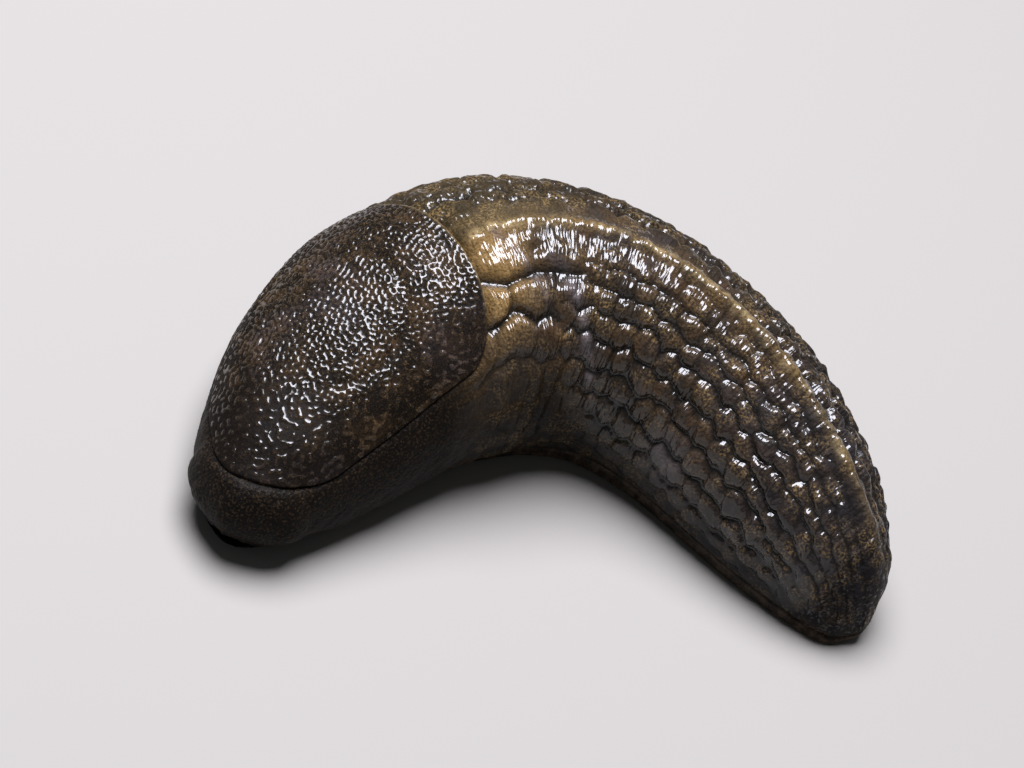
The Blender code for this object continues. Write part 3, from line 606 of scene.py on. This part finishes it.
# Each value of the skin on the body, and on the head
SKIN_VALUES = {
    "crown": (np.maximum(out_of_groove, keel_band), 0.9),
    "keel": (np.clip(keel_tint, 0, 1), 0),
    "film": (film, 0.05),
    "warm": (np.clip(warm, 0, 1) * on_back, 0),
    "olive": (olive * on_back, 0),
    "bloom": (np.clip(bloom, 0, 1) * on_back, 0),
    "low": (eased((far_share - 0.45 - 0.1 * onto_tail) / 0.35), 1),
    "rear": (eased((u - 0.66) / 0.28), 0),
    "neck": (1 - eased((u - 0.22) / 0.14), 1),
    "foot": ((1 - on_back) * eased((u - 0.06) / 0.08), 0),
    "heart": (heart, 0),
    "shaded": (shaded, 0),
    "tone": (0.5 + 0.5 * tone * behind, 0.5),
    "wrinkled": (np.where(on_back, back_wrinkled, 0.4), 0.12),
}
for name, (on_body, on_head) in SKIN_VALUES.items():
    give_attribute(skin, name, over_rings(on_body, on_head))

# The lay of the wrinkles: distances along the body and down its side
lay = skin.data.attributes.new("lay", "FLOAT_VECTOR", "POINT")
lay_values = np.stack(
    (over_rings(run, head_run), over_rings(far, head_far), np.zeros(len(ring_of))), axis=-1
) * MM
lay.data.foreach_set("vector", np.ascontiguousarray(lay_values, np.float32).ravel())


def linear(hex_colour):
    """An sRGB hex colour as the linear colour that a shader socket takes."""
    parts = [int(hex_colour[i:i + 2], 16) / 255 for i in (1, 3, 5)]
    parts = [c / 12.92 if c <= 0.04045 else ((c + 0.055) / 1.055) ** 2.4 for c in parts]
    return (*parts, 1.0)


def add_node(tree, kind, settings=None, inputs=None):
    """Add a node with its settings and, for its inputs, sockets, hex colours or plain values."""
    node = tree.nodes.new(kind)
    for name, value in (settings or {}).items():
        setattr(node, name, value)
    for name, value in (inputs or {}).items():
        if isinstance(value, bpy.types.NodeSocket):
            tree.links.new(value, node.inputs[name])
        else:
            is_colour = isinstance(value, str)
            node.inputs[name].default_value = linear(value) if is_colour else value
    return node


def new_material(name):
    material = bpy.data.materials.new(name)
    material.use_nodes = True
    return material, material.node_tree, material.node_tree.nodes["Principled BSDF"]


def grains(tree, place, size_mm, low, high, detail=2.0):
    """Uneven patches of about this size, as a share that rises from low to high."""
    noise = add_node(tree, "ShaderNodeTexNoise", {}, {
        "Vector": place, "Scale": 1000 / size_mm, "Detail": detail,
    })
    step = add_node(tree, "ShaderNodeMapRange", {"interpolation_type": "SMOOTHSTEP"}, {
        "Value": noise.outputs["Fac"], "From Min": low, "From Max": high,
    })
    return step.outputs["Result"]


def laid_over(tree, below, above, share, *shares):
    """Lay one colour over another by a share, times any further shares."""
    for further in shares:
        product = {0: share, 1: further}
        share = add_node(tree, "ShaderNodeMath", {"operation": "MULTIPLY"}, product).outputs[0]
    mix = add_node(tree, "ShaderNodeMix", {"data_type": "RGBA"}, {0: share, 6: below, 7: above})
    return mix.outputs[2]


# Slug skin under wet slime: dull olive-brown flesh, peppered with dark and gold pigment, below
# a clear film that gives small hard glints. The pigment grains are just under 0.1 mm across.
wet_skin, tree, shader = new_material("wet_slug_skin")
here = add_node(tree, "ShaderNodeTexCoord").outputs["Object"]
attribute = {
    name: add_node(tree, "ShaderNodeAttribute", {"attribute_name": name}).outputs["Fac"]
    for name in SKIN_VALUES
}
colour = laid_over(tree, "#1f1914", "#38291a", grains(tree, here, 1.3, 0.35, 0.65))
colour = laid_over(tree, colour, "#392e20", attribute["tone"], 0.35)
colour = laid_over(tree, colour, "#242122", grains(tree, here, 1.9, 0.46, 0.62), 0.55)
for name, tint, amount in (
    # The "shaded" tint is painted shade on the right flank; it also darkens the tail tip.
    ("warm", "#715833", 0.9), ("olive", "#473a22", 0.7), ("shaded", "#17140f", 0.6),
    # The "low" tint is painted shade low on the flank and on the head.
    ("low", "#120f0d", 0.9), ("rear", "#17161a", 0.75),
):
    colour = laid_over(tree, colour, tint, attribute[name], amount)
keel_colour = laid_over(tree, "#5e4b2b", "#96815a", grains(tree, here, 0.6, 0.4, 0.65))
colour = laid_over(tree, colour, keel_colour, attribute["keel"], 0.75)
spread = grains(tree, here, 0.9, 0.38, 0.66)
gold = grains(tree, here, 0.09, 0.44, 0.66)
colour = laid_over(tree, colour, "#8a7146", spread, attribute["heart"], gold, 0.42)
colour = laid_over(tree, colour, "#120f0c", grains(tree, here, 0.08, 0.50, 0.66), 0.5)
colour = laid_over(tree, colour, "#5b5455", attribute["bloom"], 0.7)
# The neck and the head drawn in under it are near black with fine brown speckle: partly their own
# dark skin, partly painted shade under the front of the mantle.
neck_colour = laid_over(tree, "#0b0907", "#2b2116", grains(tree, here, 0.09, 0.50, 0.66, 3.0))
colour = laid_over(tree, colour, neck_colour, attribute["neck"], 0.95)
# The grooves between the tubercles are darker: partly the skin's own dark grooves, partly painted
# shade in them.
raised = add_node(tree, "ShaderNodeMapRange", {"interpolation_type": "SMOOTHSTEP"}, {
    "Value": attribute["crown"], "From Min": 0.0, "From Max": 0.80,
})
colour = laid_over(tree, "#100d0a", colour, raised.outputs["Result"])
foot_colour = laid_over(tree, "#2a241e", "#463b30", grains(tree, here, 0.35, 0.4, 0.65))
colour = laid_over(tree, colour, foot_colour, attribute["foot"])
tree.links.new(colour, shader.inputs["Base Color"])

# Cross wrinkles and pores of 0.12 to 0.13 mm are too fine for the mesh. The film of slime
# fills the pores, so it takes the wrinkles alone.
lay_node = add_node(tree, "ShaderNodeAttribute", {"attribute_name": "lay"})
stretched = add_node(tree, "ShaderNodeMapping", {}, {
    "Vector": lay_node.outputs["Vector"], "Scale": (1, 0.3, 1),
})
streaks = add_node(tree, "ShaderNodeTexNoise", {}, {
    "Vector": stretched.outputs["Vector"], "Scale": 1000 / 0.13, "Detail": 0.5,
})
streak_height = add_node(tree, "ShaderNodeMath", {"operation": "MULTIPLY"}, {
    0: streaks.outputs["Fac"], 1: attribute["wrinkled"],
})
bump = add_node(tree, "ShaderNodeBump", {}, {
    "Height": streak_height.outputs[0], "Strength": 1.0, "Distance": 0.11 * MM,
})
pores = add_node(tree, "ShaderNodeTexNoise", {}, {
    "Vector": here, "Scale": 1000 / 0.12, "Detail": 2.0,
})
fine_bump = add_node(tree, "ShaderNodeBump", {}, {
    "Height": pores.outputs["Fac"], "Normal": bump.outputs["Normal"],
    "Strength": 0.6, "Distance": 0.08 * MM,
})
tree.links.new(fine_bump.outputs["Normal"], shader.inputs["Normal"])
tree.links.new(bump.outputs["Normal"], shader.inputs["Coat Normal"])

# The film is broken into spots of 0.14 mm on the shaded side
bare = add_node(tree, "ShaderNodeMath", {"operation": "SUBTRACT"}, {
    0: 1.0, 1: grains(tree, here, 0.14, 0.50, 0.64),
})
bare_there = add_node(tree, "ShaderNodeMath", {"operation": "MULTIPLY"}, {
    0: bare.outputs[0], 1: attribute["shaded"],
})
wet = add_node(tree, "ShaderNodeMath", {"operation": "SUBTRACT", "use_clamp": True}, {
    0: attribute["film"], 1: bare_there.outputs[0],
})
tree.links.new(wet.outputs[0], shader.inputs["Coat Weight"])
shader.inputs["Roughness"].default_value = 0.5
shader.inputs["IOR"].default_value = 1.4
shader.inputs["Specular IOR Level"].default_value = 0.08
shader.inputs["Coat Roughness"].default_value = 0.06
shader.inputs["Coat IOR"].default_value = 1.45
skin.data.materials.append(wet_skin)
for polygon in skin.data.polygons:
    polygon.use_smooth = True

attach(skin, "root")
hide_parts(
    "head", "eyestalk_left", "eyestalk_right", "feeler_left", "feeler_right", "neck",
    "trunk_front", "trunk_middle", "trunk_rear", "tail", "foot_front", "foot_middle", "foot_rear",
)


# Mantle: a flap of thick skin over the front third with a free edge all round, pebbled all
# over with granules of about 0.2 mm. The breathing hole goes through it on the right side.

# A square sheet with three steps down round its rim, closed below by a fan to one point. A
# point's level counts the steps, and is BOTTOM at the fan's point.
GRID, BOTTOM = 298, 9

bpy.ops.object.select_all(action="DESELECT")
bpy.ops.mesh.primitive_grid_add(x_subdivisions=GRID, y_subdivisions=GRID, size=2)
mantle = bpy.context.object
mantle.name = mantle.data.name = "mantle_flap"
bpy.ops.object.mode_set(mode="EDIT")
bpy.ops.mesh.select_all(action="DESELECT")
bpy.ops.mesh.select_non_manifold()
for rim_step in range(3):
    bpy.ops.mesh.extrude_region_move(TRANSFORM_OT_translate={"value": (0, 0, -1)})
bpy.ops.mesh.edge_face_add()
bpy.ops.mesh.poke()
bpy.ops.object.mode_set(mode="OBJECT")
sheet = np.empty(len(mantle.data.vertices) * 3)
mantle.data.vertices.foreach_get("co", sheet)
sheet = sheet.reshape(-1, 3)
across, ahead, level = sheet[:, 0], sheet[:, 1], np.rint(-sheet[:, 2]).astype(int)
level[-1] = BOTTOM

mantle_v = across * (1.28 - 0.28 * across ** 2)
share = 0.5 + 0.5 * ahead * (1.22 - 0.22 * ahead ** 2)
mantle_u = mantle_front(mantle_v) + (mantle_rear(mantle_v) - mantle_front(mantle_v)) * share
mantle_q = MANTLE_MIDDLE_Q + mantle_v * MANTLE_REACH
mantle_side = np.where(mantle_q > 0, 1.0, -1.0)
mantle_q = np.abs(mantle_q)
on_edge = (np.abs(across) > 0.99999) | (np.abs(ahead) > 0.99999)
from_edge = np.maximum(inside_mantle(mantle_u, mantle_v), 0)
from_edge = np.where(on_edge, 0, from_edge)
flat = on_wall(mantle_u, mantle_q, mantle_side, 0.0)


def winding_ridges(points, spacing, seed, waves=60):
    """A field of smooth winding ridges about this far apart, with a spread of 1."""
    dice = np.random.default_rng(seed)
    directions = dice.normal(size=(waves, 3))
    directions *= 2 * np.pi / spacing / np.linalg.norm(directions, axis=1, keepdims=True)
    directions *= dice.uniform(0.85, 1.2, (waves, 1))
    shifts = dice.uniform(0, 2 * np.pi, waves)
    total = np.zeros(len(points))
    for direction, shift in zip(directions, shifts):
        total += np.cos(points @ direction + shift)
    return total / math.sqrt(waves / 2)


# Granules: they run together into winding ridges on the middle and rear, and stand apart as
# separate beads towards the front and the left edge. Spacings and heights are in millimetres.
RIDGE_SPACING, BEAD_SPACING, FINE_SPACING = 0.19, 0.28, 0.12
PEBBLE_HEIGHT = 0.046
from_front = (mantle_u - MANTLE_FRONT) / (MANTLE_REAR - MANTLE_FRONT)
together = eased((from_front - 0.16) / 0.34) * eased((mantle_v + 0.85) / 0.5)
apart = 1 - together * eased((1.05 - mantle_v) / 0.6)
ridges = winding_ridges(flat, RIDGE_SPACING, 55) * (1 - apart)
ridges = ridges + winding_ridges(flat, BEAD_SPACING, 58) * apart
ridges += 0.12 * winding_ridges(flat, FINE_SPACING, 56)
ridge_from = -0.55 + 0.85 * apart + 0.25 * mottle(flat[:, 0] / 0.9, flat[:, 1] / 0.9, 57)
granule = np.clip((ridges - ridge_from) / 2.2, 0, 1) ** 0.6
strength = (0.75 + 0.25 * eased(from_front / 0.4)) * eased(from_edge / 0.25)
pebbles = PEBBLE_HEIGHT * strength * (granule - 0.4)

# A shallow horseshoe groove round the middle of the mantle, open to the front
HORSESHOE_DEPTH, HORSESHOE_RADIUS = 0.07, 1.9
horseshoe = np.hypot((mantle_u - 0.205) * BODY_LENGTH / 1.25, mantle_v * 3.9)
horseshoe_groove = -HORSESHOE_DEPTH * np.exp(-((horseshoe - HORSESHOE_RADIUS) / 0.16) ** 2)
horseshoe_groove = horseshoe_groove * eased((mantle_u - 0.12) / 0.05)

# Breathing hole, drawn nearly shut, with a low rim. Its half length and half width are 0.40
# and 0.13 mm, and the body's half width there is 4.4 mm.
HOLE_U, HOLE_V, HOLE_LONG, HOLE_WIDE, BODY_THERE = 0.225, 0.77, 0.40, 0.13, 4.4
HOLE_DEPTH, HOLE_RIM = 0.60, 0.06
hole_along = (mantle_u - HOLE_U) * BODY_LENGTH / HOLE_LONG
hole_across = (mantle_v - HOLE_V) * MANTLE_REACH * np.pi / 2 * BODY_THERE / HOLE_WIDE
hole = np.hypot(hole_along, hole_across)
hole_lift = -HOLE_DEPTH * (1 - eased((hole - 0.45) / 0.75))
hole_lift = hole_lift + HOLE_RIM * np.exp(-((hole - 1.7) / 0.5) ** 2)
pebbles *= eased((hole - 1.0) / 0.8)

# The edge is rounded, and stands proudest at the rear. It turns down and in below, and the
# underside closes inside the body.
EDGE_ROUND, EDGE_RISE, MIDDLE_RISE, MANTLE_SWELL = 0.16, 0.18, 0.12, 0.06
EDGE_UNDER, SEAT_UNDER, CENTRE_UNDER = -0.12, -0.34, -2.5
rounded = np.clip(from_edge / EDGE_ROUND, 0, 1)
proud = 0.15 + 0.85 * eased((from_front - 0.55) / 0.3) * eased((mantle_v + 0.9) / 0.4)
lift = 0.02 + EDGE_RISE * proud * np.sqrt(1 - (1 - rounded) ** 2)
lift = lift + MIDDLE_RISE * eased(from_edge / 1.4)
mantle_swell = MANTLE_SWELL * mottle(flat[:, 0] / 1.6, flat[:, 1] / 1.6, 61)
lift = lift + (mantle_swell + horseshoe_groove) * eased(from_edge / 0.8) + hole_lift + pebbles
lift = np.where(level == 1, EDGE_UNDER, lift)
lift = np.where(level >= 2, SEAT_UNDER, lift)
mantle_places = on_wall(mantle_u, mantle_q, mantle_side, lift)
centre = on_wall(np.array([0.19]), np.array([0.0]), 1.0, CENTRE_UNDER)[0]
inside = mantle_places + (centre - mantle_places) * 0.06
mantle_places = np.where((level == 3)[:, None], inside, mantle_places)
mantle_places[level == BOTTOM] = centre
mantle.data.vertices.foreach_set("co", (mantle_places * MM).ravel())
mantle.data.update()

MANTLE_VALUES = {
    "granule": granule,
    "film": eased((granule - 0.25) / 0.35) * eased(from_edge / 0.1),
    "edge": 1 - eased(from_edge / 0.22),
    "fore": 1 - eased((from_front - 0.05) / 0.45),
    "hind": eased((from_front - 0.7) / 0.3) * eased((mantle_v + 0.9) / 0.3),
}
for name, values in MANTLE_VALUES.items():
    give_attribute(mantle, name, values)

# Mantle skin: the same wet slug skin, nearly black, marbled with brown and grey in patches of
# 1 to 3 mm and peppered with ochre and black. The film lies on the granules and leaves the
# valleys between them dull. The rear edge carries a painted highlight: it is painted pale
# along its lit rim.
mantle_skin, tree, shader = new_material("wet_granular_mantle_skin")
here = add_node(tree, "ShaderNodeTexCoord").outputs["Object"]
attribute = {
    name: add_node(tree, "ShaderNodeAttribute", {"attribute_name": name}).outputs["Fac"]
    for name in MANTLE_VALUES
}
colour = laid_over(tree, "#14100c", "#35281a", grains(tree, here, 1.1, 0.46, 0.66, 3.0))
colour = laid_over(tree, colour, "#332e30", grains(tree, here, 2.6, 0.52, 0.70), 0.45)
colour = laid_over(tree, colour, "#6d5531", grains(tree, here, 0.05, 0.52, 0.66), 0.4)
colour = laid_over(tree, colour, "#0d0a08", grains(tree, here, 0.06, 0.50, 0.62), 0.6)
fore_colour = laid_over(tree, "#0e0b09", "#2a2017", grains(tree, here, 0.09, 0.50, 0.66, 3.0))
colour = laid_over(tree, colour, fore_colour, attribute["fore"], 0.75)
# Painted highlight: the rear edge is painted pale where its rim catches the lamp.
colour = laid_over(tree, colour, "#7a6646", attribute["edge"], attribute["hind"], 0.6)
# The valleys between the granules are darker: painted shade in them.
raised = add_node(tree, "ShaderNodeMapRange", {}, {
    "Value": attribute["granule"], "From Min": 0.0, "From Max": 0.5,
    "To Min": 0.35, "To Max": 1.0,
})
colour = laid_over(tree, "#0b0908", colour, raised.outputs["Result"])
tree.links.new(colour, shader.inputs["Base Color"])
pores = add_node(tree, "ShaderNodeTexNoise", {}, {
    "Vector": here, "Scale": 1000 / 0.08, "Detail": 1.0,
})
bump = add_node(tree, "ShaderNodeBump", {}, {
    "Height": pores.outputs["Fac"], "Strength": 0.4, "Distance": 0.03 * MM,
})
tree.links.new(bump.outputs["Normal"], shader.inputs["Normal"])
tree.links.new(attribute["film"], shader.inputs["Coat Weight"])
shader.inputs["Roughness"].default_value = 0.5
shader.inputs["IOR"].default_value = 1.4
shader.inputs["Specular IOR Level"].default_value = 0.05
shader.inputs["Coat Roughness"].default_value = 0.04
shader.inputs["Coat IOR"].default_value = 1.45
mantle.data.materials.append(mantle_skin)
for polygon in mantle.data.polygons:
    polygon.use_smooth = True
bpy.ops.object.mode_set(mode="EDIT")
bpy.ops.mesh.select_all(action="SELECT")
bpy.ops.mesh.normals_make_consistent(inside=False)
bpy.ops.object.mode_set(mode="OBJECT")

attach(mantle, "root")
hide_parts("mantle")


# Eyes: two small black spots, one at the tip of each eyestalk, set in its clear wet skin. The
# eyestalks are drawn in to knobs inside the opening under the brow.

EYE_RADIUS, EYE_BACK, EYE_OUT, EYE_LEVEL = 0.11, 1.52, 0.56, 1.01

# Black pigment under clear skin: no colour of its own, and one sharp glint
eye_skin, tree, shader = new_material("black_wet_eye_spot")
shader.inputs["Base Color"].default_value = linear("#060507")
shader.inputs["Roughness"].default_value = 0.15
shader.inputs["IOR"].default_value = 1.4
for name, sideways in (("eye_left", -EYE_OUT), ("eye_right", EYE_OUT)):
    bpy.ops.object.select_all(action="DESELECT")
    eye_place = NOSE_PLACE + np.array((EYE_BACK, sideways, EYE_LEVEL)) @ HEAD_AXES
    bpy.ops.mesh.primitive_uv_sphere_add(
        segments=24, ring_count=16, radius=EYE_RADIUS * MM, location=eye_place * MM
    )
    bpy.ops.object.transform_apply(location=True, rotation=True, scale=True)
    bpy.ops.object.shade_smooth()
    eye = bpy.context.object
    eye.name = eye.data.name = name
    eye.data.materials.append(eye_skin)
    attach(eye, "root")


# Floor, lights and camera: a plain pale floor with matt paint, one broad soft lamp above, and
# a camera at the angle of the photograph

bpy.ops.object.select_all(action="DESELECT")
bpy.ops.mesh.primitive_plane_add(size=1.2)
floor = bpy.context.object
floor.name = "floor"
floor_paint, tree, shader = new_material("matt_pale_floor")
shader.inputs["Base Color"].default_value = linear("#87837d")
shader.inputs["Roughness"].default_value = 0.8
floor.data.materials.append(floor_paint)

world = bpy.data.worlds.new("studio")
bpy.context.scene.world = world
world.use_nodes = True
world.node_tree.nodes["Background"].inputs["Color"].default_value = linear("#dfe3ea")
world.node_tree.nodes["Background"].inputs["Strength"].default_value = 0.15
bpy.context.scene.view_settings.view_transform = "Standard"

# The target shows at its own pixel of the frame, to the right of the middle and below it
AZIMUTH, ELEVATION, ROLL = math.radians(-18), math.radians(48), math.radians(24)
LENS, SENSOR, DISTANCE = 150, 36, 150.0
FRAME_WIDTH, FRAME_MIDDLE, TARGET_PIXEL = 1024, (512, 384), (570, 432)
back = Vector((
    math.sin(AZIMUTH) * math.cos(ELEVATION), -math.cos(AZIMUTH) * math.cos(ELEVATION),
    math.sin(ELEVATION),
))
level_right = Vector((math.cos(AZIMUTH), math.sin(AZIMUTH), 0))
level_up = back.cross(level_right)
right = level_right * math.cos(ROLL) + level_up * math.sin(ROLL)
upward = level_up * math.cos(ROLL) - level_right * math.sin(ROLL)
target = Vector((0.31, -2.14, 4.0))
per_pixel = DISTANCE / (LENS / SENSOR * FRAME_WIDTH)
eye_point = (
    target + back * DISTANCE
    - right * (TARGET_PIXEL[0] - FRAME_MIDDLE[0]) * per_pixel
    - upward * (FRAME_MIDDLE[1] - TARGET_PIXEL[1]) * per_pixel
)

camera_data = bpy.data.cameras.new("camera")
camera_data.lens = LENS
camera_data.sensor_width = SENSOR
camera_data.clip_start = 0.01
camera = bpy.data.objects.new("camera", camera_data)
camera.matrix_world = Matrix((right, upward, back)).transposed().to_4x4()
camera.matrix_world.translation = eye_point * MM
bpy.context.scene.collection.objects.link(camera)
bpy.context.scene.camera = camera

# The lamp stands nearly overhead, a little behind the slug and to its left in the picture. Its
# distance and size are in millimetres.
LAMP_DISTANCE, LAMP_SIZE, LAMP_WATTS = 190, 142, 1.38
towards_lamp = back * 0.60 + upward * 0.78 + right * 0.16
lamp_data = bpy.data.lights.new("key", "AREA")
lamp_data.shape = "DISK"
lamp_data.size = LAMP_SIZE * MM
lamp_data.energy = LAMP_WATTS
lamp_data.color = linear("#f1f3ff")[:3]
lamp = bpy.data.objects.new("key", lamp_data)
lamp.location = (target + towards_lamp.normalized() * LAMP_DISTANCE) * MM
lamp.rotation_euler = (-towards_lamp).to_track_quat("-Z", "Y").to_euler()
bpy.context.scene.collection.objects.link(lamp)
